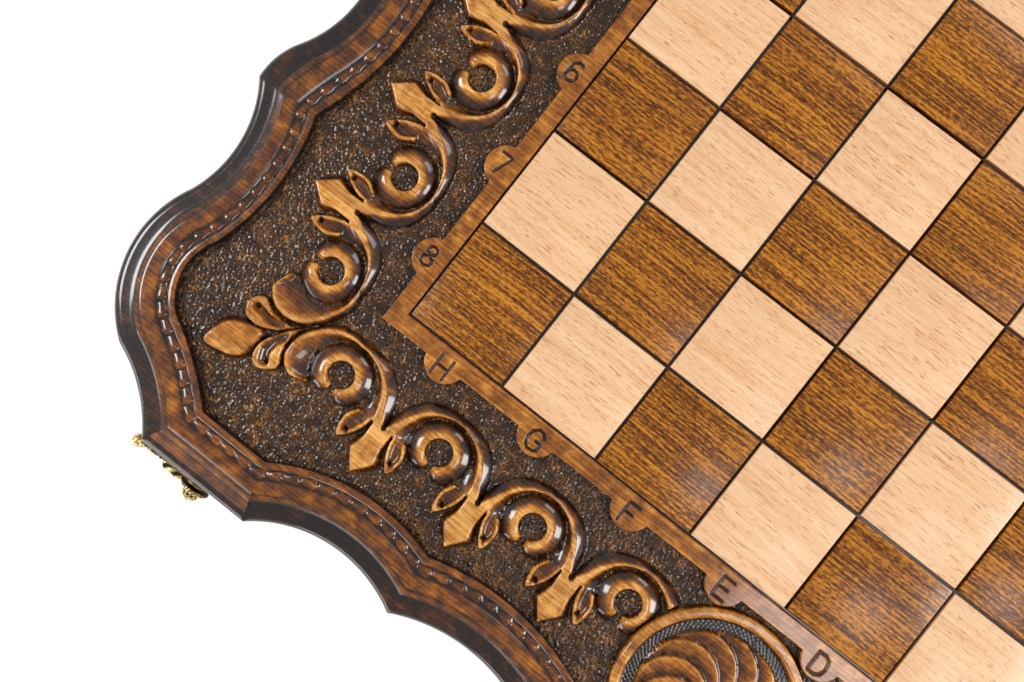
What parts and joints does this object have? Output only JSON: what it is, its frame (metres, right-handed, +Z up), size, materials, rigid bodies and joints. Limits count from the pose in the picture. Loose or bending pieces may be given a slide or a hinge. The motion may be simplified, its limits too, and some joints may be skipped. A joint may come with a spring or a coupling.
{
  "type": "chess and backgammon board",
  "caption": "Folding wooden chess board with a carved scalloped border; its two hinged halves form a backgammon case closed by brass swing hooks.",
  "frame": {"origin": "middle of the open board at the level it lies on, under the seam between the halves", "axes": "+Z up out of the chess side, +X along the letters from H to A, +Y along the numbers from 8 to 1; the hook latches face -Y"},
  "size_m": [0.5142, 0.536, 0.0441],
  "materials": {
    "carved_beech": "honey-stained carved beech under glossy lacquer, ground punched and stained dark brown",
    "dark_squares": "beech stained brown, satin lacquer",
    "light_squares": "pale natural beech with ray flecks, satin lacquer",
    "case_walls": "stained beech walls, glossy lacquer",
    "field_panel": "mid-brown beech panel, satin lacquer",
    "dark_points": "dark inlaid wood, satin lacquer",
    "light_points": "pale inlaid wood, satin lacquer",
    "hinge_brass": "brushed brass",
    "hinge_pins": "plain steel wire",
    "hinge_screws": "brass countersunk screws",
    "latch_discs": "blackened metal, semi-gloss",
    "antique_brass": "antique brass with dark patina in the hollows"
  },
  "bodies": {
    "front_case": {"front_carved_panel": "carved_beech", "front_dark_squares": "dark_squares", "front_light_squares": "light_squares", "front_outer_wall": "case_walls", "front_left_wall": "case_walls", "front_right_wall": "case_walls", "front_hinge_rail": "case_walls", "front_field_panel": "field_panel", "front_dark_points": "dark_points", "front_light_points": "light_points", "front_hinge_screws": "hinge_screws", "left_hinge_front_leaf": "hinge_brass", "left_hinge_pin": "hinge_pins", "left_hook_disc": "latch_discs", "left_hook_rosette": "antique_brass", "right_hinge_front_leaf": "hinge_brass", "right_hinge_pin": "hinge_pins", "right_hook_disc": "latch_discs", "right_hook_rosette": "antique_brass"},
    "rear_case": {"rear_carved_panel": "carved_beech", "rear_dark_squares": "dark_squares", "rear_light_squares": "light_squares", "rear_outer_wall": "case_walls", "rear_left_wall": "case_walls", "rear_right_wall": "case_walls", "rear_hinge_rail": "case_walls", "rear_field_panel": "field_panel", "rear_dark_points": "dark_points", "rear_light_points": "light_points", "rear_hinge_screws": "hinge_screws", "left_hinge_rear_leaf": "hinge_brass", "left_catch_disc": "latch_discs", "left_catch_stud": "antique_brass", "right_hinge_rear_leaf": "hinge_brass", "right_catch_disc": "latch_discs", "right_catch_stud": "antique_brass"},
    "left_hook": {"left_hook_arm": "antique_brass"},
    "right_hook": {"right_hook_arm": "antique_brass"}
  },
  "joints": [
    {"name": "fold", "type": "hinge", "parent": "front_case", "child": "rear_case", "pos_m": [0, 0, 0.002], "axis": [-1, 0, 0], "range_deg": [0, 180]},
    {"name": "left_hook_swing", "type": "hinge", "parent": "front_case", "child": "left_hook", "pos_m": [-0.188, -0.251, 0.01215], "axis": [0, -1, 0], "range_deg": [-90, 90]},
    {"name": "right_hook_swing", "type": "hinge", "parent": "front_case", "child": "right_hook", "pos_m": [0.188, -0.251, 0.01215], "axis": [0, 1, 0], "range_deg": [-90, 90]}
  ]
}
